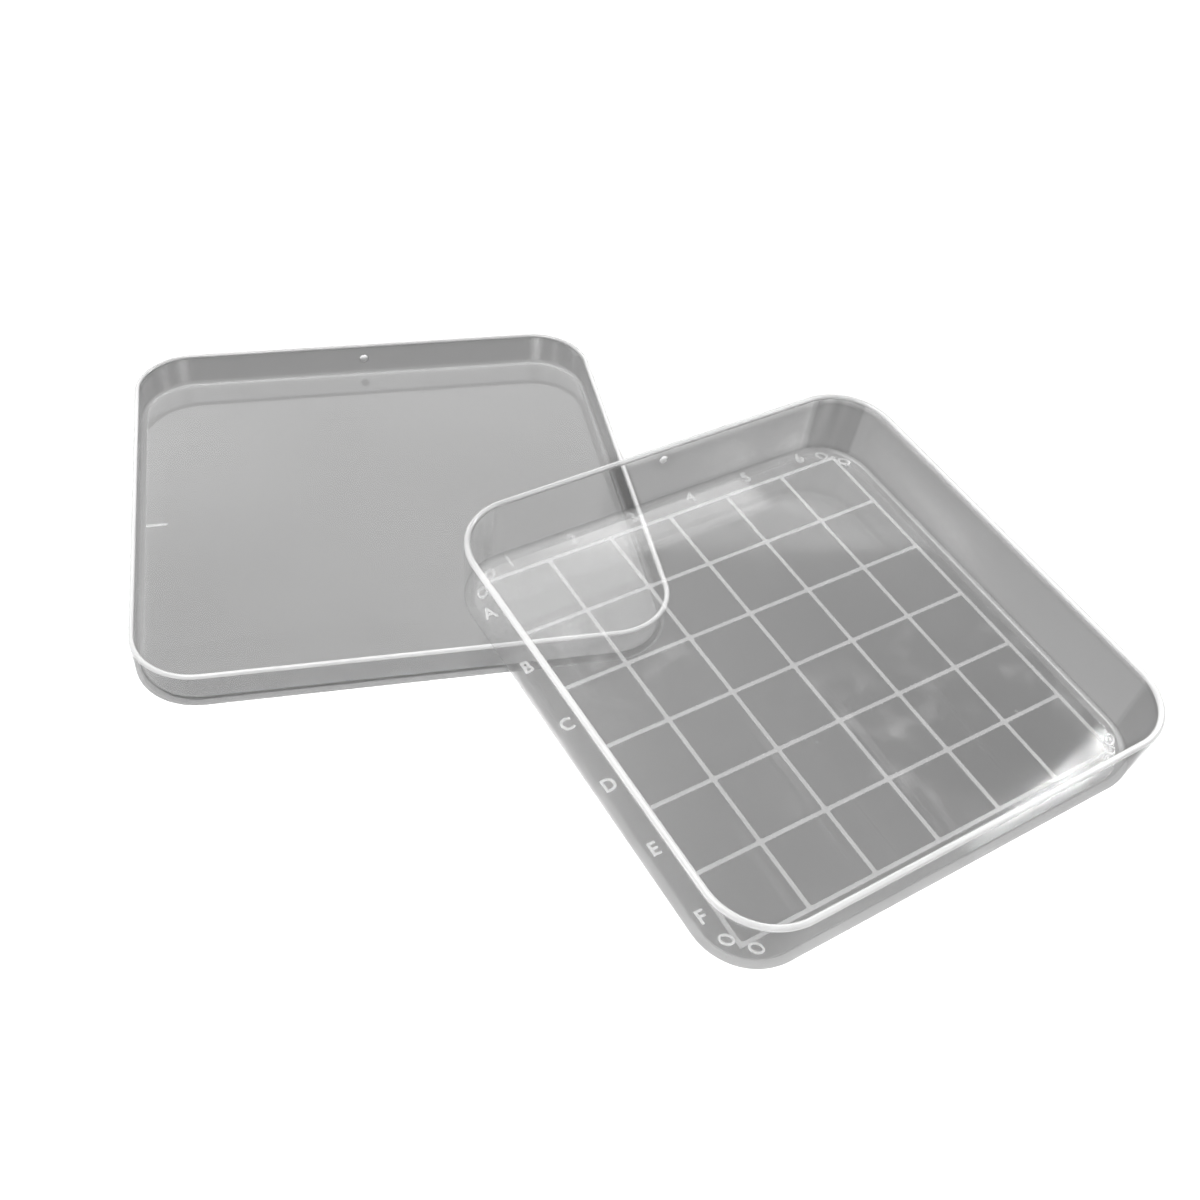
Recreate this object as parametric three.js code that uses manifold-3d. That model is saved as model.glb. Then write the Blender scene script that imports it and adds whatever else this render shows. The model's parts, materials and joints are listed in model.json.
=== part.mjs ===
// Square gridded dish and its shallow lid, both moulded in clear polystyrene.
// The lid lies open side up on the table and the dish leans over one corner of it.
// Millimetres, +Z up, origin at the bottom centre of the whole arrangement.

import * as THREE from "three";
import { mergeVertices } from "three/addons/utils/BufferGeometryUtils.js";
import Module from "manifold-3d";

const wasm = await Module();
wasm.setup();

// Driving dimensions of the two mouldings. A side is measured outside, across the flats.
const DISH = {
  footSide: 88.6,
  rimSide: 90.7,
  height: 14.0,
  wall: 1.15,
  floor: 1.1,
  footCorner: 10.6,
  footEdge: 0.8,
  fillet: 0.6,
  pipHeight: 11.2,
};
const LID = {
  footSide: 92.9,
  rimSide: 93.5,
  height: 7.5,
  wall: 0.95,
  floor: 1.1,
  footCorner: 11.3,
  footEdge: 0.7,
  fillet: 0.5,
  pipHeight: 4.3,
};

// The grid moulded on the dish floor: 6 x 6 squares with coordinates along two sides.
const SQUARES = 6;
const PITCH = 13;
const RIB_WIDTH = 0.8;
const RELIEF = 0.15;
const ROOT = 0.3;
const CAP_HEIGHT = 2.4;
const CAP_WIDTH = 1.9;
const STROKE = 0.4;
const MARGIN_CENTRE = 41.6;

// Small moulded details.
const STACK_PAD = { length: 2.6, width: 1.9, relief: 0.25, along: 37.2, across: 40.4 };
const LOCATING_PIP = { radius: 0.7, relief: 0.35 };
const LID_TICK = { length: 4, width: 0.9 };

// How the pieces lie: the lid flat, the dish turned and leaning on the lid's rim.
const DISH_TURN = 19.9;
const DISH_LEAN_BACK = 5.8;
const DISH_LEAN_SIDE = 2.5;
const DISH_CENTRE = [63.3, -57.8];
const REST_GAP = 0.25;

const CORNER_STEPS = 4;
const EDGE_STEPS = 2;
const PAD_SIDES = 12;
const PIP_SIDES = 10;
const PIP_BANDS = 6;
const radians = THREE.MathUtils.degToRad;

function roundedSquare(side, corner) {
  const half = side / 2;
  const inner = half - corner;
  const outline = new THREE.Shape();
  outline.moveTo(half, -inner);
  outline.absarc(inner, inner, corner, 0, Math.PI / 2);
  outline.absarc(-inner, inner, corner, Math.PI / 2, Math.PI);
  outline.absarc(-inner, -inner, corner, Math.PI, 1.5 * Math.PI);
  outline.absarc(inner, -inner, corner, 1.5 * Math.PI, 2 * Math.PI);
  return outline;
}

// The wall's section from the middle of the foot round the rim to the floor inside.
// x is the distance outside the foot's side, y is the height above the table.
function wallSection(size) {
  const { height, wall, floor, footEdge, fillet } = size;
  const draft = (size.rimSide - size.footSide) / 2 / height;
  const lip = wall / 2;
  const outside = (z) => draft * z;
  const section = new THREE.Path();
  section.absarc(outside(footEdge) - footEdge, footEdge, footEdge, -Math.PI / 2, 0);
  section.absarc(outside(height - lip) - lip, height - lip, lip, 0, Math.PI);
  section.absarc(outside(floor + fillet) - wall - fillet, floor + fillet, fillet, 0, -Math.PI / 2, true);
  return section.getPoints(EDGE_STEPS);
}

// A closed skin through rounded squares, one for each point of the wall's section.
function moulding(size) {
  const rings = wallSection(size).map(({ x, y }) =>
    roundedSquare(size.footSide + 2 * x, size.footCorner + x)
      .getPoints(CORNER_STEPS)
      .slice(0, -1)
      .map((p) => [p.x, p.y, y]),
  );
  const count = rings[0].length;
  const index = [];
  for (let ring = 0; ring + 1 < rings.length; ring++)
    for (let i = 0; i < count; i++) {
      const a = ring * count + i;
      const b = ring * count + ((i + 1) % count);
      index.push(a, b, b + count, a, b + count, a + count);
    }
  const last = (rings.length - 1) * count;
  for (let i = 1; i + 1 < count; i++) {
    index.push(0, i + 1, i);
    index.push(last, last + i, last + i + 1);
  }
  const skin = new THREE.BufferGeometry();
  skin.setAttribute("position", new THREE.Float32BufferAttribute(rings.flat(2), 3));
  skin.setIndex(index);
  return skin;
}

function solidOf(geometry) {
  const bare = new THREE.BufferGeometry().setAttribute("position", geometry.getAttribute("position"));
  bare.setIndex(geometry.getIndex());
  const merged = mergeVertices(bare);
  const vertProperties = new Float32Array(merged.getAttribute("position").array);
  const triVerts = new Uint32Array(merged.getIndex().array);
  return new wasm.Manifold(new wasm.Mesh({ numProp: 3, vertProperties, triVerts }));
}

function geometryOf(solid) {
  const { vertProperties, triVerts } = solid.getMesh();
  const geometry = new THREE.BufferGeometry();
  geometry.setAttribute("position", new THREE.BufferAttribute(vertProperties, 3));
  geometry.setIndex(new THREE.BufferAttribute(triVerts, 1));
  return geometry;
}

// A straight raised bar from one floor point to another, rooted a little way into the floor.
function bar([x0, y0], [x1, y1], width, floor, relief = RELIEF) {
  const run = Math.hypot(x1 - x0, y1 - y0);
  return new THREE.BoxGeometry(run + width, width, ROOT + relief)
    .rotateZ(Math.atan2(y1 - y0, x1 - x0))
    .translate((x0 + x1) / 2, (y0 + y1) / 2, floor + (relief - ROOT) / 2);
}

function gridRibs() {
  const reach = (SQUARES * PITCH) / 2;
  const ribs = [];
  for (let line = 0; line <= SQUARES; line++) {
    const at = line * PITCH - reach;
    ribs.push(bar([-reach, at], [reach, at], RIB_WIDTH, DISH.floor));
    ribs.push(bar([at, -reach], [at, reach], RIB_WIDTH, DISH.floor));
  }
  return ribs;
}

// Plain stroke characters on a box one unit wide and one unit high.
const STROKES = {
  A: [[[0, 0], [0.5, 1], [1, 0]], [[0.2, 0.35], [0.8, 0.35]]],
  B: [
    [[0, 0], [0, 1], [0.7, 1], [0.9, 0.75], [0.7, 0.52], [1, 0.26], [0.75, 0], [0, 0]],
    [[0, 0.52], [0.7, 0.52]],
  ],
  C: [[[1, 0.85], [0.7, 1], [0.25, 1], [0, 0.7], [0, 0.3], [0.25, 0], [0.7, 0], [1, 0.15]]],
  D: [[[0, 0], [0, 1], [0.6, 1], [1, 0.7], [1, 0.3], [0.6, 0], [0, 0]]],
  E: [[[1, 0], [0, 0], [0, 1], [1, 1]], [[0, 0.5], [0.8, 0.5]]],
  F: [[[0, 0], [0, 1], [1, 1]], [[0, 0.5], [0.8, 0.5]]],
  1: [[[0.3, 0.8], [0.55, 1], [0.55, 0]]],
  2: [[[0, 0.8], [0.3, 1], [0.75, 1], [1, 0.75], [0.85, 0.5], [0, 0], [1, 0]]],
  3: [[[0, 1], [0.9, 1], [0.4, 0.6], [0.8, 0.6], [1, 0.3], [0.75, 0], [0.25, 0], [0, 0.15]]],
  4: [[[0.7, 0], [0.7, 1], [0, 0.3], [1, 0.3]]],
  5: [[[0.9, 1], [0.1, 1], [0.05, 0.55], [0.7, 0.6], [1, 0.3], [0.7, 0], [0, 0.05]]],
  6: [[[0.8, 1], [0.25, 0.75], [0, 0.3], [0.25, 0], [0.75, 0], [1, 0.3], [0.75, 0.55], [0.1, 0.45]]],
};

function character(sign, [centreX, centreY]) {
  const place = ([u, v]) => [centreX + (u - 0.5) * CAP_WIDTH, centreY + (v - 0.5) * CAP_HEIGHT];
  return STROKES[sign].flatMap((stroke) =>
    stroke.slice(1).map((end, i) => bar(place(stroke[i]), place(end), STROKE, DISH.floor)),
  );
}

function coordinates() {
  const middle = (SQUARES - 1) / 2;
  const rows = [..."ABCDEF"].flatMap((sign, i) => character(sign, [-MARGIN_CENTRE, (middle - i) * PITCH]));
  const columns = [..."123456"].flatMap((sign, i) => character(sign, [(i - middle) * PITCH, MARGIN_CENTRE]));
  return [...rows, ...columns];
}

// Two low oval pads beside the diagonal in each corner of the dish floor.
function stackingPads() {
  const { length, width, relief, along, across } = STACK_PAD;
  const pads = [];
  for (let corner = 0; corner < 4; corner++)
    for (const [x, y] of [[along, across], [across, along]])
      pads.push(
        new THREE.CylinderGeometry(0.5, 0.5, ROOT + relief, PAD_SIDES)
          .rotateX(Math.PI / 2)
          .scale(length, width, 1)
          .rotateZ(-Math.PI / 4)
          .translate(x, y, DISH.floor + (relief - ROOT) / 2)
          .rotateZ((corner * Math.PI) / 2),
      );
  return pads;
}

// A small rounded pip half sunk in the inner face of the back wall.
function locatingPip(size) {
  const draft = (size.rimSide - size.footSide) / 2 / size.height;
  const innerFace = size.footSide / 2 + draft * size.pipHeight - size.wall;
  const { radius, relief } = LOCATING_PIP;
  const pip = new THREE.SphereGeometry(radius, PIP_SIDES, PIP_BANDS);
  return pip.translate(0, innerFace + radius - relief, size.pipHeight);
}

function lidTick() {
  const edge = LID.footSide / 2 - LID.wall - LID.fillet;
  return bar([-edge, 0], [-edge + LID_TICK.length, 0], LID_TICK.width, LID.floor);
}

function moulded(name, size, details, tint) {
  const solid = details.reduce((whole, detail) => whole.add(solidOf(detail)), solidOf(moulding(size)));
  const plastic = new THREE.MeshStandardMaterial({
    color: tint,
    roughness: 0.12,
    metalness: 0,
    transparent: true,
    opacity: 0.6,
  });
  const mesh = new THREE.Mesh(geometryOf(solid), plastic);
  mesh.name = name;
  return mesh;
}

const dishDetails = [...gridRibs(), ...coordinates(), ...stackingPads(), locatingPip(DISH)];
const dish = moulded("gridded_dish", DISH, dishDetails, 0xb9bcc0);
const lid = moulded("lid", LID, [locatingPip(LID), lidTick()], 0xc6c9cc);

// The leaning dish touches the lid at the point of its rim that lies furthest down the slope.
const leaning = new THREE.Group();
leaning.rotation.set(radians(DISH_LEAN_BACK), radians(DISH_LEAN_SIDE), 0);
const up = new THREE.Vector3(0, 0, 1).applyEuler(leaning.rotation);
const downhill = new THREE.Vector2(up.x, up.y).normalize();
const lipSide = LID.rimSide - LID.wall;
const lipCorner = LID.footCorner + (LID.rimSide - LID.footSide) / 2 - LID.wall / 2;
const support = new THREE.Vector2(1, -1)
  .multiplyScalar(lipSide / 2 - lipCorner)
  .addScaledVector(downhill, lipCorner);
const rise = ((support.x - DISH_CENTRE[0]) * up.x + (support.y - DISH_CENTRE[1]) * up.y) / up.z;
leaning.position.set(...DISH_CENTRE, LID.height + REST_GAP / up.z + rise);
dish.rotation.z = radians(DISH_TURN);
leaning.add(dish);

const arrangement = new THREE.Group();
arrangement.add(lid, leaning);
arrangement.updateMatrixWorld(true);
const extent = new THREE.Box3().setFromObject(arrangement, true);
const middle = extent.getCenter(new THREE.Vector3());
arrangement.position.set(-middle.x, -middle.y, -extent.min.z);

export default arrangement;
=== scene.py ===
"""Looks for the square gridded dish that leans over the corner of its shallow lid.

Both are clear moulded polystyrene. Lengths are in metres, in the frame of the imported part.
"""

import json
from math import asin, atan2, cos, pi, radians, sin

import bpy
from mathutils import Matrix, Vector


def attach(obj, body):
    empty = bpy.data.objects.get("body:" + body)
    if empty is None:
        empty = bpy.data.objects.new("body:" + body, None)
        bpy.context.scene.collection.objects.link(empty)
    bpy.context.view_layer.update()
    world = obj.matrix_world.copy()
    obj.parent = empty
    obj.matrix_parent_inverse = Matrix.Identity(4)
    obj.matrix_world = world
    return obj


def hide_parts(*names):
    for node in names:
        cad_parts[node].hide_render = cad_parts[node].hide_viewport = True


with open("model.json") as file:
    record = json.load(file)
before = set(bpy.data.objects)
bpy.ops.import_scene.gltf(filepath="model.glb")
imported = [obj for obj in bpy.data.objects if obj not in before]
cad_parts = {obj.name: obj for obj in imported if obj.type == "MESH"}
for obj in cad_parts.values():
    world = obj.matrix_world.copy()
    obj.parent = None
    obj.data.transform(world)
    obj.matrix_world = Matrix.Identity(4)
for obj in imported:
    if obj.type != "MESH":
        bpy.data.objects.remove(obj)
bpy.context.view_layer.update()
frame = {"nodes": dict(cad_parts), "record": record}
MM = 0.001

# How the dish is turned about its own upright axis. Its lean comes from the record.
DISH_TURN = radians(19.9)

# The mouldings' feet and walls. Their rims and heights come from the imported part.
DISH = dict(
    foot_side=88.6 * MM,
    wall=1.15 * MM,
    floor=1.1 * MM,
    foot_corner=10.6 * MM,
    foot_edge=0.8 * MM,
    fillet=0.6 * MM,
    pip_height=11.2 * MM,
)
LID = dict(
    foot_side=92.9 * MM,
    wall=0.95 * MM,
    floor=1.1 * MM,
    foot_corner=11.3 * MM,
    foot_edge=0.7 * MM,
    fillet=0.5 * MM,
    pip_height=4.3 * MM,
)

# The grid and coordinates on the dish floor.
SQUARES = 6
PITCH = 13 * MM
RIB_WIDTH = 0.75 * MM
RELIEF = 0.15 * MM
CAP_HEIGHT = 2.4 * MM
MARGIN_CENTRE = 41.6 * MM
CELL_CORNER = 0.35 * MM

# A capital letter's height as a share of the font's size.
CAPITAL_SHARE = 0.72

# Small moulded details.
PAD_LENGTH = 2.6 * MM
PAD_WIDTH = 1.9 * MM
PAD_BEAD = 0.42 * MM
PAD_RELIEF = 0.2 * MM
PAD_ALONG = 37.2 * MM
PAD_ACROSS = 40.4 * MM
PAD_STEPS = 28
PIP_RADIUS = 0.9 * MM
PIP_RELIEF = 0.33 * MM
PIP_ROOT = 0.2 * MM
PIP_RINGS = 5
TICK_LENGTH = 4 * MM
TICK_WIDTH = 0.7 * MM
TICK_STEPS = 8

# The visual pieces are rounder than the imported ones, so they are this much smaller.
INSET = 0.06 * MM

# The order of a tray's material slots.
BODY, WALL, FOOT, FILLET, RIM = range(5)

# How far a flat face's last ring stands in from its edge, to keep its shading flat.
SUPPORT = 1 * MM

# How finely the rounded shapes are divided.
CORNER_STEPS = 20
CELL_STEPS = 4
EDGE_STEPS = 6
WALL_STEPS = 4

# The gloss of the clear walls.
WALL_IOR = 1.6

# A length far too small to see, which keeps a division safe.
NEVER_ZERO = 0.01 * MM

# What the camera looks at.
AIM = Vector((-0.00026, 0.00301, 0.0))


# ---------------------------------------------------------------- places


def mount(name):
    return next(m for m in frame["record"]["mounts"] if m["name"] == name)


def dish_placement():
    """The matrix from the dish's own axes, with its underside at z = 0, to the frame."""
    underside = mount("dish_underside")
    up = -Vector(underside["axis"]).normalized()
    lean = Matrix.Rotation(atan2(-up.y, up.z), 3, "X") @ Matrix.Rotation(asin(up.x), 3, "Y")
    turned = lean @ Matrix.Rotation(DISH_TURN, 3, "Z")
    return Matrix.Translation(underside["pos_m"]) @ turned.to_4x4()


def lid_placement():
    return Matrix.Translation(mount("lid_underside")["pos_m"])


def own_size(node, placement):
    """A node's width across the rim and its height, measured along its own axes."""
    to_own = placement.inverted()
    points = [to_own @ v.co for v in frame["nodes"][node].data.vertices]
    width = max(p.x for p in points) - min(p.x for p in points)
    return width, max(p.z for p in points)


DISH_AT = dish_placement()
LID_AT = lid_placement()
DISH["rim_side"], DISH["height"] = own_size("gridded_dish", DISH_AT)
LID["rim_side"], LID["height"] = own_size("lid", LID_AT)
for size in (DISH, LID):
    size["rim_side"] -= INSET
    size["height"] -= INSET


# ---------------------------------------------------------------- shapes


def arc(centre, radius, start, end, steps):
    return [
        (centre[0] + radius * cos(start + (end - start) * i / steps),
         centre[1] + radius * sin(start + (end - start) * i / steps))
        for i in range(steps + 1)
    ]


def draft(size):
    return (size["rim_side"] - size["foot_side"]) / 2 / size["height"]


def rounded_square(side, corner, steps, middle_x=0.0, middle_y=0.0):
    inner = side / 2 - corner
    points = []
    for quarter, (sx, sy) in enumerate(((1, 1), (-1, 1), (-1, -1), (1, -1))):
        start = quarter * pi / 2
        centre = (middle_x + sx * inner, middle_y + sy * inner)
        points += arc(centre, corner, start, start + pi / 2, steps)
    return points


def shell_section(size):
    """The tray's section from the foot's middle up the outside, over and down to the floor.

    Each point is (distance outside the foot's side, height, finish of the band that starts there).
    """
    slope, lip = draft(size), size["wall"] / 2
    top = size["height"] - lip
    edge, wall, fillet = size["foot_edge"], size["wall"], size["fillet"]
    low = size["floor"] + fillet
    rise = [i / WALL_STEPS for i in range(WALL_STEPS)]
    bands = [
        (FOOT, [(-edge - SUPPORT, 0)]),
        (FOOT, arc((slope * edge - edge, edge), edge, -pi / 2, 0, EDGE_STEPS)[:-1]),
        (WALL, [(slope * z, z) for z in (edge + (top - edge) * t for t in rise)]),
        (RIM, arc((slope * top - lip, top), lip, 0, pi, 2 * EDGE_STEPS)[:-1]),
        (WALL, [(slope * z - wall, z) for z in (top + (low - top) * t for t in rise)]),
        (FILLET, arc((slope * low - wall - fillet, low), fillet, 0, -pi / 2, EDGE_STEPS)[:-1]),
        (BODY, [(slope * low - wall - fillet, size["floor"])]),
        (BODY, [(slope * low - wall - fillet - SUPPORT, size["floor"])]),
    ]
    return [(out, z, finish) for finish, points in bands for out, z in points]


def tray(name, size):
    """A closed tray through rounded squares, one for each point of its section."""
    section = shell_section(size)
    rings = []
    for out, z, _ in section:
        outline = rounded_square(size["foot_side"] + 2 * out, size["foot_corner"] + out, CORNER_STEPS)
        rings.append([(x, y, z) for x, y in outline])
    count = len(rings[0])
    faces, finishes = [], []
    for ring in range(len(rings) - 1):
        for i in range(count):
            j = (i + 1) % count
            low, high = ring * count, (ring + 1) * count
            faces.append((low + i, low + j, high + j, high + i))
            finishes.append(section[ring][2])
    faces.append(tuple(reversed(range(count))))
    faces.append(tuple((len(rings) - 1) * count + i for i in range(count)))
    finishes += [BODY, BODY]
    mesh = bpy.data.meshes.new(name)
    mesh.from_pydata([p for ring in rings for p in ring], [], faces)
    mesh.polygons.foreach_set("material_index", finishes)
    mesh.shade_smooth()
    mesh.set_sharp_from_angle(angle=radians(40))
    return add(name, mesh)


def add(name, data):
    piece = bpy.data.objects.new(name, data)
    bpy.context.scene.collection.objects.link(piece)
    return piece


def baked(piece):
    """The piece as a plain mesh, with its curve or modifiers worked out."""
    graph = bpy.context.evaluated_depsgraph_get()
    mesh = bpy.data.meshes.new_from_object(piece.evaluated_get(graph), depsgraph=graph)
    mesh.transform(piece.matrix_world)
    name = piece.name
    bpy.data.objects.remove(piece)
    mesh.name = name
    return add(name, mesh)


def joined(name, pieces):
    """Several plain meshes as one piece."""
    vertices, faces = [], []
    for piece in pieces:
        base = len(vertices)
        vertices += [tuple(v.co) for v in piece.data.vertices]
        faces += [tuple(base + i for i in p.vertices) for p in piece.data.polygons]
        bpy.data.objects.remove(piece)
    mesh = bpy.data.meshes.new(name)
    mesh.from_pydata(vertices, [], faces)
    return add(name, mesh)


def outline_relief(name, outlines, height, bevel):
    """A flat shape with holes, raised to a height with its upper edges rounded off."""
    curve = bpy.data.curves.new(name, "CURVE")
    curve.dimensions = "2D"
    curve.fill_mode = "BOTH"
    curve.extrude = height / 2
    curve.bevel_depth = bevel
    curve.bevel_resolution = 2
    curve.offset = -bevel
    for outline in outlines:
        spline = curve.splines.new("POLY")
        spline.points.add(len(outline) - 1)
        spline.use_cyclic_u = True
        for point, (x, y) in zip(spline.points, outline):
            point.co = (x, y, 0, 1)
    return baked(add(name, curve))


def grid_ribs():
    reach = SQUARES * PITCH / 2
    edge = reach + RIB_WIDTH / 2
    outlines = [[(-edge, -edge), (edge, -edge), (edge, edge), (-edge, edge)]]
    cell = PITCH - RIB_WIDTH
    for row in range(SQUARES):
        for column in range(SQUARES):
            x, y = (column + 0.5) * PITCH - reach, (row + 0.5) * PITCH - reach
            outlines.append(rounded_square(cell, CELL_CORNER, CELL_STEPS, x, y))
    ribs = outline_relief("dish_grid_ribs", outlines, RELIEF, bevel=0.06 * MM)
    ribs.location.z = DISH["floor"] + RELIEF / 2
    return ribs


def character(sign, x, y):
    text = bpy.data.curves.new("character", "FONT")
    text.body = sign
    text.align_x = "CENTER"
    text.align_y = "CENTER"
    text.size = CAP_HEIGHT / CAPITAL_SHARE
    text.extrude = RELIEF / 2
    text.bevel_depth = 0.05 * MM
    text.offset = 0.04 * MM
    piece = add("character_" + sign, text)
    piece.location = (x, y, DISH["floor"] + RELIEF / 2)
    bpy.context.view_layer.update()
    return baked(piece)


def coordinates():
    middle = (SQUARES - 1) / 2
    rows = [character(sign, -MARGIN_CENTRE, (middle - i) * PITCH) for i, sign in enumerate("ABCDEF")]
    columns = [character(sign, (i - middle) * PITCH, MARGIN_CENTRE) for i, sign in enumerate("123456")]
    return joined("dish_coordinates", rows + columns)


def stacking_pads():
    """Two low oval rings beside the diagonal in each corner of the dish floor."""
    pads = []
    for corner in range(4):
        for along, across in ((PAD_ALONG, PAD_ACROSS), (PAD_ACROSS, PAD_ALONG)):
            turn = corner * pi / 2
            centre = rotated(along, across, turn)
            outer = oval(centre, PAD_LENGTH, PAD_WIDTH, turn - pi / 4)
            inner = oval(centre, PAD_LENGTH - 2 * PAD_BEAD, PAD_WIDTH - 2 * PAD_BEAD, turn - pi / 4)
            pads.append(outline_relief("pad", [outer, inner], PAD_RELIEF, bevel=0.08 * MM))
    pads = joined("dish_stacking_pads", pads)
    pads.location.z = DISH["floor"] + PAD_RELIEF / 2
    return pads


def rotated(x, y, turn):
    return x * cos(turn) - y * sin(turn), x * sin(turn) + y * cos(turn)


def oval(centre, length, width, turn):
    points = []
    for x, y in arc((0, 0), 1, 0, 2 * pi, PAD_STEPS)[:-1]:
        x, y = rotated(x * length / 2, y * width / 2, turn)
        points.append((centre[0] + x, centre[1] + y))
    return points


def wall_pip(name, size):
    """A small rounded pip on the inner face of the back wall, flattened where it meets the wall."""
    height = size["pip_height"]
    face = size["foot_side"] / 2 + draft(size) * height - size["wall"]
    profile = arc((0, 0), 1, 0, pi / 2, PIP_RINGS)
    points, faces, count = [], [], 4 * PIP_RINGS
    for across, out in profile[:-1]:
        depth = face + PIP_ROOT - out * (PIP_RELIEF + PIP_ROOT)
        for x, z in arc((0, 0), across * PIP_RADIUS, 0, 2 * pi, count)[:-1]:
            points.append((x, depth, height + z))
    points.append((0, face - PIP_RELIEF, height))
    for ring in range(PIP_RINGS - 1):
        low, high = ring * count, (ring + 1) * count
        for i in range(count):
            j = (i + 1) % count
            faces.append((low + i, low + j, high + j, high + i))
    last = (PIP_RINGS - 1) * count
    faces += [(last + i, last + (i + 1) % count, len(points) - 1) for i in range(count)]
    faces.append(tuple(reversed(range(count))))
    mesh = bpy.data.meshes.new(name)
    mesh.from_pydata(points, [], faces)
    mesh.shade_smooth()
    mesh.set_sharp_from_angle(angle=radians(60))
    return add(name, mesh)


def lid_tick():
    """A short raised mark on the lid floor, running in from the middle of the left wall."""
    start = -(LID["foot_side"] / 2 - LID["wall"] - LID["fillet"])
    half = TICK_WIDTH / 2
    end = start + TICK_LENGTH
    rounded = arc((end - half, 0), half, -pi / 2, pi / 2, TICK_STEPS)
    outline = [(start, half), (start, -half)] + rounded
    tick = outline_relief("lid_tick", [outline], RELIEF, bevel=0.05 * MM)
    tick.location.z = LID["floor"] + RELIEF / 2
    return tick


# ---------------------------------------------------------------- materials


class Finish:
    """A material for one moulding, with short names for the nodes that it is built from.

    Its patterns are laid out in the moulding's own axes, in metres.
    """

    def __init__(self, name, placement):
        self.made = bpy.data.materials.new(name)
        self.made.use_nodes = True
        self.nodes, self.links = self.made.node_tree.nodes, self.made.node_tree.links
        place, turn = placement.to_translation(), placement.to_euler()
        own = self.node("ShaderNodeMapping", Location=place, Rotation=turn)
        own.vector_type = "TEXTURE"
        self.links.new(self.node("ShaderNodeTexCoord").outputs["Object"], own.inputs["Vector"])
        self.place = own.outputs["Vector"]
        split = self.node("ShaderNodeSeparateXYZ", Vector=self.place)
        self.x, self.y, self.z = split.outputs

    def node(self, kind, **inputs):
        node = self.nodes.new(kind)
        for socket, value in inputs.items():
            self.feed(node.inputs[socket.replace("_", " ")], value)
        return node

    def feed(self, socket, value):
        if isinstance(value, bpy.types.NodeSocket):
            self.links.new(value, socket)
        else:
            socket.default_value = value

    def calc(self, operation, a, b=0.0):
        node = self.nodes.new("ShaderNodeMath")
        node.operation = operation
        self.feed(node.inputs[0], a)
        self.feed(node.inputs[1], b)
        return node.outputs[0]

    def total(self, first, *rest):
        for term in rest:
            first = self.calc("ADD", first, term)
        return first

    def product(self, first, *rest):
        for term in rest:
            first = self.calc("MULTIPLY", first, term)
        return first

    def fade(self, source, start, end, low=0.0, high=1.0):
        """low where the source is at start or before, rising smoothly to high at end."""
        ends = dict(From_Min=start, From_Max=end, To_Min=low, To_Max=high)
        node = self.node("ShaderNodeMapRange", Value=source, **ends)
        node.interpolation_type = "SMOOTHSTEP"
        return node.outputs["Result"]

    def noise(self, scale, detail=3.0, stretch=(1, 1, 1), turn=0.0):
        mapping = self.node("ShaderNodeMapping", Vector=self.place, Scale=stretch, Rotation=(0, 0, turn))
        noise = self.node("ShaderNodeTexNoise", Vector=mapping.outputs[0], Scale=scale, Detail=detail)
        return noise.outputs["Fac"]

    def specks(self, scale, size, share):
        """Round specks, in a share of the cells of a random pattern."""
        cells = self.node("ShaderNodeTexVoronoi", Vector=self.place, Scale=scale)
        tint = self.node("ShaderNodeSeparateColor", Color=cells.outputs["Color"]).outputs[0]
        dots = self.fade(cells.outputs["Distance"], size, 0.0)
        return self.calc("MULTIPLY", dots, self.calc("LESS_THAN", tint, share))

    def near(self, source, centre, reach):
        """1 where the source is at the centre, fading to 0 at the reach on both sides."""
        return self.fade(self.calc("ABSOLUTE", self.calc("SUBTRACT", source, centre)), reach, 0.0)

    def corner(self, size):
        """0 along the left and right sides, 1 along the front and back, and between round a corner."""
        reach = size["foot_side"] / 2 - size["foot_corner"]
        across = self.calc("SUBTRACT", self.calc("ABSOLUTE", self.x), reach)
        along = self.calc("SUBTRACT", self.calc("ABSOLUTE", self.y), reach)
        across = self.calc("MAXIMUM", across, NEVER_ZERO)
        along = self.calc("MAXIMUM", along, 0.0)
        return self.calc("DIVIDE", self.calc("ARCTAN2", along, across), pi / 2)

    def neutral(self, grey):
        """A grey that is either one number or a pattern."""
        if isinstance(grey, bpy.types.NodeSocket):
            return self.node("ShaderNodeCombineColor", Red=grey, Green=grey, Blue=grey).outputs[0]
        return grey, grey, grey, 1.0

    def plastic(self, grey, haze, shade, ior, roughness=0.07):
        """Clear plastic. haze is how much one surface hides, shade how much of a lamp gets past it."""
        shader = self.nodes["Principled BSDF"]
        self.feed(shader.inputs["Base Color"], self.neutral(grey))
        worn = self.fade(self.noise(28.0), 0.3, 0.7, roughness - 0.02, roughness + 0.04)
        self.feed(shader.inputs["Roughness"], worn)
        self.feed(shader.inputs["IOR"], ior)
        self.feed(shader.inputs["Alpha"], haze)
        lamps = self.node("ShaderNodeLightPath").outputs["Is Shadow Ray"]
        past = self.node("ShaderNodeBsdfTransparent", Color=self.neutral(shade))
        mix = self.node("ShaderNodeMixShader")
        self.links.new(lamps, mix.inputs[0])
        self.links.new(shader.outputs[0], mix.inputs[1])
        self.links.new(past.outputs[0], mix.inputs[2])
        self.links.new(mix.outputs[0], self.nodes["Material Output"].inputs["Surface"])
        return self.made


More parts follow.
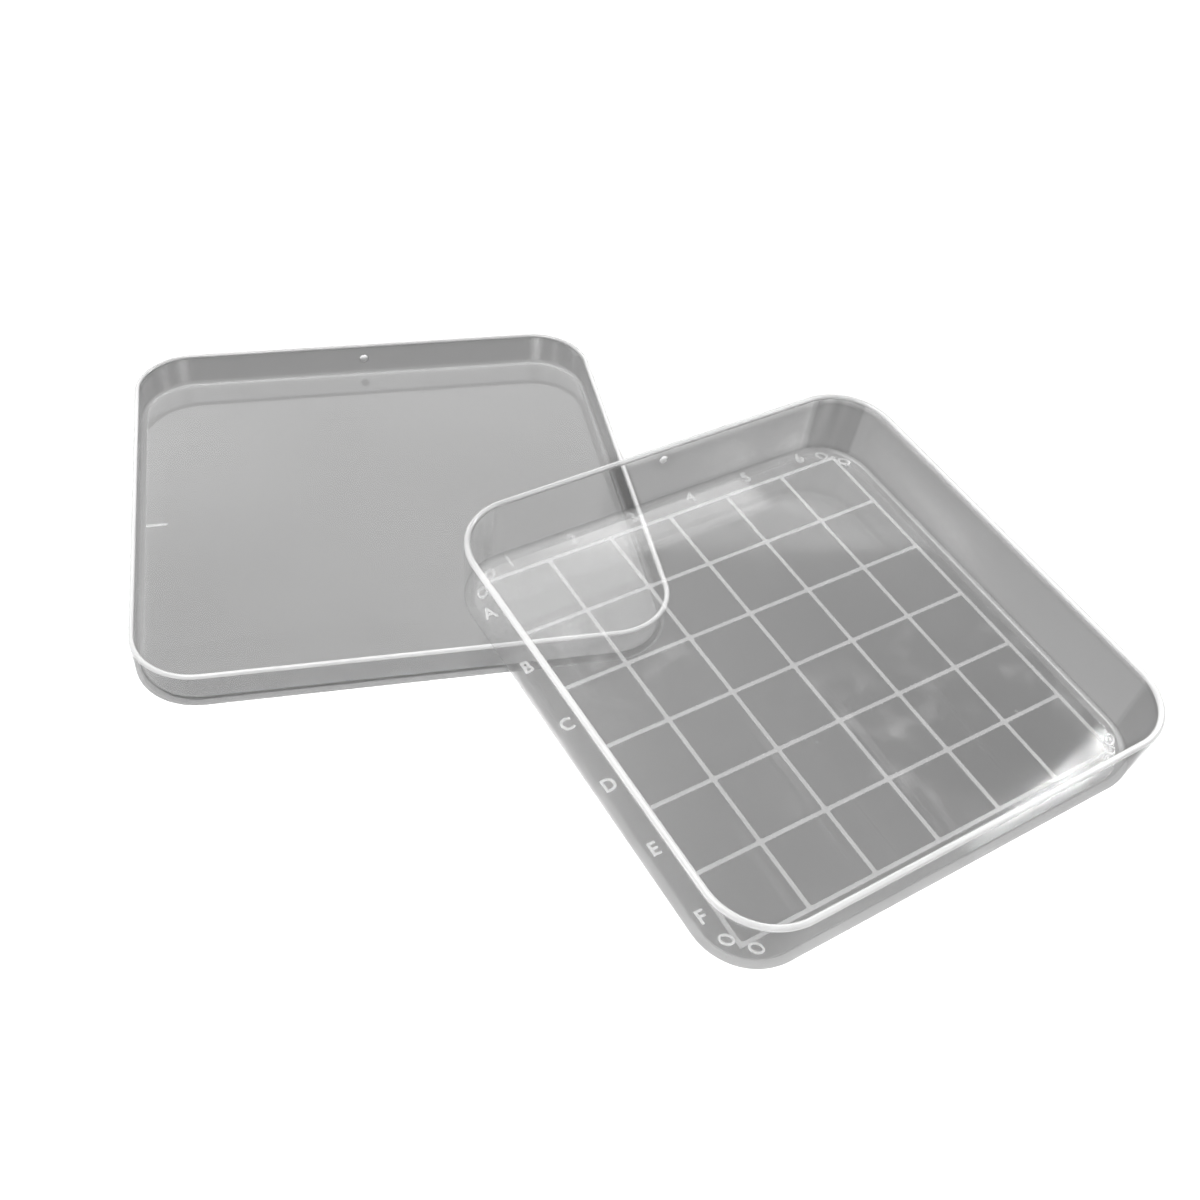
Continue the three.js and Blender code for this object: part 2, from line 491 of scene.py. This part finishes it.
def dish_floor():
    """Nearly clear, with handling haze and a few specks. A pale band under the back wall is a painted
    reflection, and the floor is painted paler towards the back.
    """
    finish = Finish("dish_floor", DISH_AT)
    bands = finish.fade(finish.noise(16.0, 1.0, (1, 0.3, 1), radians(40)), 0.2, 0.8, -0.02, 0.02)
    # Painted light: the floor grows hazier, and so paler, towards the back.
    back = finish.fade(finish.y, -42 * MM, 42 * MM, -0.015, 0.02)
    haze_and_glare = finish.product(
        finish.fade(finish.noise(140.0, 4.0), 0.5, 0.8),
        finish.fade(finish.noise(30.0, 1.0), 0.45, 0.7),
        0.12,
    )
    slanted_end = finish.calc("ADD", finish.x, finish.calc("MULTIPLY", finish.y, 0.25))
    # A painted reflection: a pale band on the floor under the back wall.
    reflection_strip = finish.product(
        finish.fade(finish.y, 33.0 * MM, 34.6 * MM),
        finish.fade(slanted_end, 31.0 * MM, 28.0 * MM),
        finish.fade(finish.x, -30.0 * MM, 12.0 * MM, 0.03, 0.1),
        finish.fade(finish.noise(110.0, 3.0), 0.3, 0.7, 0.7, 1.1),
    )
    scratches = finish.product(
        finish.fade(finish.noise(45.0, 2.0, (14, 0.5, 1), radians(6)), 0.6, 0.72),
        finish.fade(finish.noise(18.0, 1.0), 0.45, 0.6),
        0.05,
    )
    specks = finish.product(finish.specks(170.0, 0.09, 0.1), 0.16)
    haze = finish.total(0.105, bands, back, haze_and_glare, reflection_strip, scratches, specks)
    grain = finish.fade(finish.noise(700.0, 1.0), 0.35, 0.65, 0.74, 0.76)
    return finish.plastic(grain, haze, shade=0.1, ior=1.9, roughness=0.05)


def lid_floor():
    """A little hazier than the dish, with a fine even grain, and painted shade that darkens it towards
    the front.
    """
    finish = Finish("lid_floor", LID_AT)
    broad = finish.fade(finish.noise(18.0, 2.0), 0.3, 0.7, -0.012, 0.012)
    specks = finish.product(finish.specks(150.0, 0.08, 0.05), 0.1)
    haze = finish.total(0.3, broad, specks)
    grain = finish.fade(finish.noise(900.0, 2.0), 0.35, 0.65, 0.68, 0.71)
    # Painted shade: the floor darker towards the front.
    front = finish.fade(finish.y, -45 * MM, 35 * MM, 0.82, 1.0)
    return finish.plastic(finish.product(grain, front), haze, shade=0.1, ior=1.7)


def painted_corner_glints(finish, corner):
    """Painted highlights: pale upright glints round each back corner of a wall, standing in for
    reflections of the lights in its curved corners.
    """
    return finish.product(
        finish.total(
            finish.near(corner, 0.86, 0.12),
            finish.product(finish.near(corner, 0.62, 0.1), 0.6),
            finish.product(finish.near(corner, 0.3, 0.1), 0.4),
        ),
        finish.fade(finish.y, 0.0, 20 * MM),
        finish.fade(finish.noise(60.0, 1.0), 0.3, 0.7, 0.5, 1.0),
    )


def rim_highlight(finish, corner, height):
    """A painted highlight: a pale band just under the rim of the left and right walls."""
    return finish.product(
        finish.fade(finish.z, height - 1.7 * MM, height - 0.9 * MM),
        finish.fade(corner, 0.7, 0.3),
        0.6,
    )


def dish_wall():
    """Clearest over the lid, so the lid behind it shows lighter; hazy along the back and right, partly
    real haze and partly painted glare; and painted shade round their corner.
    """
    finish = Finish("dish_wall", DISH_AT)
    corner = finish.corner(DISH)
    glints = painted_corner_glints(finish, corner)
    right = finish.fade(finish.x, 0.0, 30 * MM)
    # Pale patches along the back and right: partly real haze, partly painted glare from the light on the
    # right.
    haze_and_glare = finish.product(
        finish.total(finish.fade(corner, 0.3, 0.1, 0.0, 0.5), finish.fade(corner, 0.92, 0.98)),
        finish.fade(finish.y, -15 * MM, 12 * MM),
        right,
        finish.fade(finish.z, 13 * MM, 6 * MM, 0.5, 1.0),
        finish.fade(finish.noise(60.0, 3.0, (1, 0.5, 2)), 0.35, 0.65, 0.35, 1.0),
    )
    # Painted shade, darkening the wall round its right-hand corners.
    corner_shade_from = finish.fade(finish.y, -10 * MM, 10 * MM, 0.1, 0.3)
    corner_shade = finish.product(
        finish.fade(finish.calc("SUBTRACT", corner, corner_shade_from), 0.0, 0.04),
        finish.fade(corner, 0.92, 0.88),
        right,
    )
    # Painted light: the wall is clearer where it stands over the lid, so that the lid seen through it
    # shows lighter.
    over_lid = finish.product(
        finish.fade(finish.x, -9 * MM, -15 * MM),
        finish.fade(finish.y, 25 * MM, 40 * MM),
    )
    pale = finish.total(glints, rim_highlight(finish, corner, DISH["height"]), haze_and_glare)
    pale = finish.calc("MINIMUM", pale, 1.0)
    grey = finish.product(
        finish.fade(pale, 0.0, 1.0, 0.08, 0.85),
        finish.fade(corner_shade, 0.0, 1.0, 1.0, 0.2),
    )
    haze = finish.total(
        finish.fade(over_lid, 0.0, 1.0, 0.085, 0.03),
        finish.product(pale, 0.2),
        finish.product(corner_shade, 0.1),
    )
    # More of a lamp gets past the glints and glare patches, painting light on what lies behind.
    shade = finish.total(0.43, finish.product(glints, 0.22), finish.product(haze_and_glare, 0.15))
    return finish.plastic(grey, haze, shade, WALL_IOR)


def lid_wall():
    """Hazier than the dish's wall, and plain but for painted highlights: glints round its back corners
    and a pale band under its rim.
    """
    finish = Finish("lid_wall", LID_AT)
    corner = finish.corner(LID)
    glints = painted_corner_glints(finish, corner)
    pale = finish.total(glints, rim_highlight(finish, corner, LID["height"]))
    pale = finish.calc("MINIMUM", pale, 1.0)
    grey = finish.fade(pale, 0.0, 1.0, 0.08, 0.85)
    haze = finish.total(0.16, finish.product(pale, 0.2))
    # More of a lamp gets past the glints, painting light on what lies behind.
    shade = finish.total(0.435, finish.product(glints, 0.22))
    return finish.plastic(grey, haze, shade, WALL_IOR)


def solid_looking(name, placement, grey, haze, shade=0.3, ior=1.4):
    """Where the plastic is rounded or thick, light piles up and it looks pale."""
    finish = Finish(name, placement)
    pale = finish.fade(finish.noise(130.0, 3.0), 0.3, 0.7, grey - 0.04, grey + 0.04)
    return finish.plastic(pale, haze, shade, ior, roughness=0.15)


def dish_marks():
    """The coordinates and oval rings, which stand out least under the back wall."""
    finish = Finish("dish_mark", DISH_AT)
    pale = finish.fade(finish.noise(130.0), 0.3, 0.7, 0.8, 0.9)
    haze = finish.fade(finish.y, 36 * MM, 39 * MM, 0.3, 0.14)
    return finish.plastic(pale, haze, shade=0.3, ior=1.4, roughness=0.15)


def bright_rim(name, placement, grey):
    """The rounded rim, pale where light piles up in it, with painted shade darkening its far side."""
    finish = Finish(name, placement)
    pale = finish.fade(finish.noise(40.0, 2.0), 0.3, 0.7, grey - 0.03, grey + 0.03)
    # Painted shade along the far side of the rim.
    far = finish.fade(finish.y, 30 * MM, 44 * MM, 1.0, 0.72)
    return finish.plastic(finish.product(pale, far), haze=0.8, shade=0.3, ior=1.4, roughness=0.2)


def dish_fillet():
    """The round at the floor's edge, with a painted highlight along the right wall."""
    finish = Finish("dish_fillet", DISH_AT)
    pale = finish.fade(finish.noise(130.0), 0.3, 0.7, 0.66, 0.74)
    # A painted highlight along the right wall.
    right = finish.fade(finish.x, 38 * MM, 42 * MM)
    haze = finish.fade(right, 0.0, 1.0, 0.1, 0.3)
    return finish.plastic(pale, haze, shade=0.3, ior=1.3, roughness=0.2)


def dress(piece, body, finishes, placement):
    """Puts a piece made in its moulding's own axes into the frame, with its body and finish."""
    bpy.context.view_layer.update()
    piece.data.transform(placement @ piece.matrix_world)
    piece.matrix_world = Matrix.Identity(4)
    for finish in finishes:
        piece.data.materials.append(finish)
    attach(piece, body)
    return piece


# ---------------------------------------------------------------- the pieces


def make_dish():
    rim = bright_rim("dish_rim", DISH_AT, grey=0.72)
    foot = solid_looking("dish_foot", DISH_AT, grey=0.35, haze=0.27, shade=0.35)
    relief = solid_looking("dish_relief", DISH_AT, grey=0.8, haze=0.19)
    mark = dish_marks()
    pip = solid_looking("dish_pip", DISH_AT, grey=0.95, haze=0.95)
    shell = tray("dish_shell", DISH)
    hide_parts("gridded_dish")
    dress(shell, "dish", [dish_floor(), dish_wall(), foot, dish_fillet(), rim], DISH_AT)
    details = (
        (grid_ribs(), relief),
        (coordinates(), mark),
        (stacking_pads(), mark),
        (wall_pip("dish_wall_pip", DISH), pip),
    )
    return [shell] + [dress(piece, "dish", [finish], DISH_AT) for piece, finish in details]


def make_lid():
    rim = bright_rim("lid_rim", LID_AT, grey=0.66)
    foot = solid_looking("lid_foot", LID_AT, grey=0.4, haze=0.22, shade=0.37)
    fillet = solid_looking("lid_fillet", LID_AT, grey=0.45, haze=0.14, shade=0.5, ior=1.2)
    relief = solid_looking("lid_relief", LID_AT, grey=0.85, haze=0.22)
    pip = solid_looking("lid_pip", LID_AT, grey=0.95, haze=0.95)
    shell = tray("lid_shell", LID)
    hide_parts("lid")
    dress(shell, "lid", [lid_floor(), lid_wall(), foot, fillet, rim], LID_AT)
    details = ((lid_tick(), relief), (wall_pip("lid_wall_pip", LID), pip))
    return [shell] + [dress(piece, "lid", [finish], LID_AT) for piece, finish in details]


# ---------------------------------------------------------------- stage, lights, camera


def make_floor():
    """A plain pale floor that goes on glowing softly where the lights no longer reach it."""
    reach = 8.0
    glow_starts, glow_full, glow = 0.22, 0.6, 0.9
    mesh = bpy.data.meshes.new("floor")
    corners = [(-reach, -reach, 0), (reach, -reach, 0), (reach, reach, 0), (-reach, reach, 0)]
    mesh.from_pydata(corners, [], [(0, 1, 2, 3)])
    floor = add("floor", mesh)
    pale = bpy.data.materials.new("floor_pale")
    pale.use_nodes = True
    nodes, links = pale.node_tree.nodes, pale.node_tree.links
    shader = nodes["Principled BSDF"]
    shader.inputs["Base Color"].default_value = (0.9, 0.9, 0.9, 1)
    shader.inputs["Roughness"].default_value = 0.9
    shader.inputs["Specular IOR Level"].default_value = 0.0
    shader.inputs["Emission Color"].default_value = (1, 1, 1, 1)
    distance = nodes.new("ShaderNodeVectorMath")
    distance.operation = "LENGTH"
    links.new(nodes.new("ShaderNodeTexCoord").outputs["Object"], distance.inputs[0])
    far = nodes.new("ShaderNodeMapRange")
    far.inputs["From Min"].default_value = glow_starts
    far.inputs["From Max"].default_value = glow_full
    far.inputs["To Max"].default_value = glow
    links.new(distance.outputs["Value"], far.inputs["Value"])
    links.new(far.outputs["Result"], shader.inputs["Emission Strength"])
    mesh.materials.append(pale)
    return floor


def area_light(name, place, target, size, power):
    lamp = bpy.data.lights.new(name, "AREA")
    lamp.shape = "RECTANGLE"
    lamp.size, lamp.size_y = size
    lamp.energy = power
    holder = add(name, lamp)
    holder.location = place
    holder.rotation_euler = (Vector(target) - Vector(place)).to_track_quat("-Z", "Y").to_euler()
    return holder


def reflector(name, place, target, size, power):
    """A panel that shows only as a reflection in the gloss."""
    holder = area_light(name, place, target, size, power)
    holder.visible_diffuse = False
    return holder


def group(name, pieces):
    made = bpy.data.collections.new(name)
    for piece in pieces:
        made.objects.link(piece)
    return made


def make_camera():
    """Looks down at the middle of the arrangement from in front and to the left."""
    distance, azimuth, elevation, roll = 0.26547, radians(15.75), radians(43.34), radians(5.26)
    toward = Vector((sin(azimuth) * cos(elevation), cos(azimuth) * cos(elevation), -sin(elevation)))
    lens = bpy.data.cameras.new("camera")
    lens.sensor_width = 36
    lens.lens = 43.29
    lens.clip_start = 0.01
    camera = add("camera", lens)
    turn = toward.to_track_quat("-Z", "Y").to_matrix() @ Matrix.Rotation(roll, 3, "Z")
    camera.matrix_world = Matrix.Translation(AIM - distance * toward) @ turn.to_4x4()
    bpy.context.scene.camera = camera
    return camera


def make_world():
    """Dim light from all round, behind a backdrop that looks pale."""
    room_light, backdrop = 0.12, 0.9
    world = bpy.data.worlds.new("studio")
    bpy.context.scene.world = world
    world.use_nodes = True
    nodes, links = world.node_tree.nodes, world.node_tree.links
    nodes["Background"].inputs["Color"].default_value = (1, 1, 1, 1)
    strength = nodes.new("ShaderNodeMapRange")
    strength.inputs["To Min"].default_value = room_light
    strength.inputs["To Max"].default_value = backdrop
    links.new(nodes.new("ShaderNodeLightPath").outputs["Is Camera Ray"], strength.inputs["Value"])
    links.new(strength.outputs["Result"], nodes["Background"].inputs["Strength"])


def make_lights(camera, floor, plastics):
    """The floor's light stands at the camera's place, so that the shadows fall out of its sight."""
    on_floor = area_light("floor_light", camera.location, AIM, (0.03, 0.03), 30)
    on_floor.data.use_nodes = True
    nodes, links = on_floor.data.node_tree.nodes, on_floor.data.node_tree.links
    falloff = nodes.new("ShaderNodeLightFalloff")
    falloff.inputs["Strength"].default_value = 1
    links.new(falloff.outputs["Constant"], nodes["Emission"].inputs["Strength"])
    on_floor.light_linking.receiver_collection = group("floor_only", [floor])
    overhead = area_light("overhead", (-0.2, 0.1, 1.2), (0, 0, 0), (0.5, 0.5), 20)
    overhead.light_linking.receiver_collection = group("plastics", plastics)
    overhead.light_linking.blocker_collection = group("no_shade", [floor])
    reflector("back_panel", (0.05, 0.95, 0.55), (0, 0.05, 0.0), (1.4, 0.9), 20)
    reflector("left_panel", (-0.9, 0.4, 0.75), (0, 0, 0.0), (0.5, 0.5), 5)
    reflector("right_panel", (0.8, -0.41, 0.68), (0, 0, 0.0), (0.5, 0.5), 8)
    reflector("glare_panel", (0.726, 0.28, 0.8), (0.07, -0.05, 0.01), (0.21, 0.3), 11)


camera = make_camera()
make_world()
make_lights(camera, make_floor(), make_dish() + make_lid())
bpy.context.scene.view_settings.view_transform = "Standard"
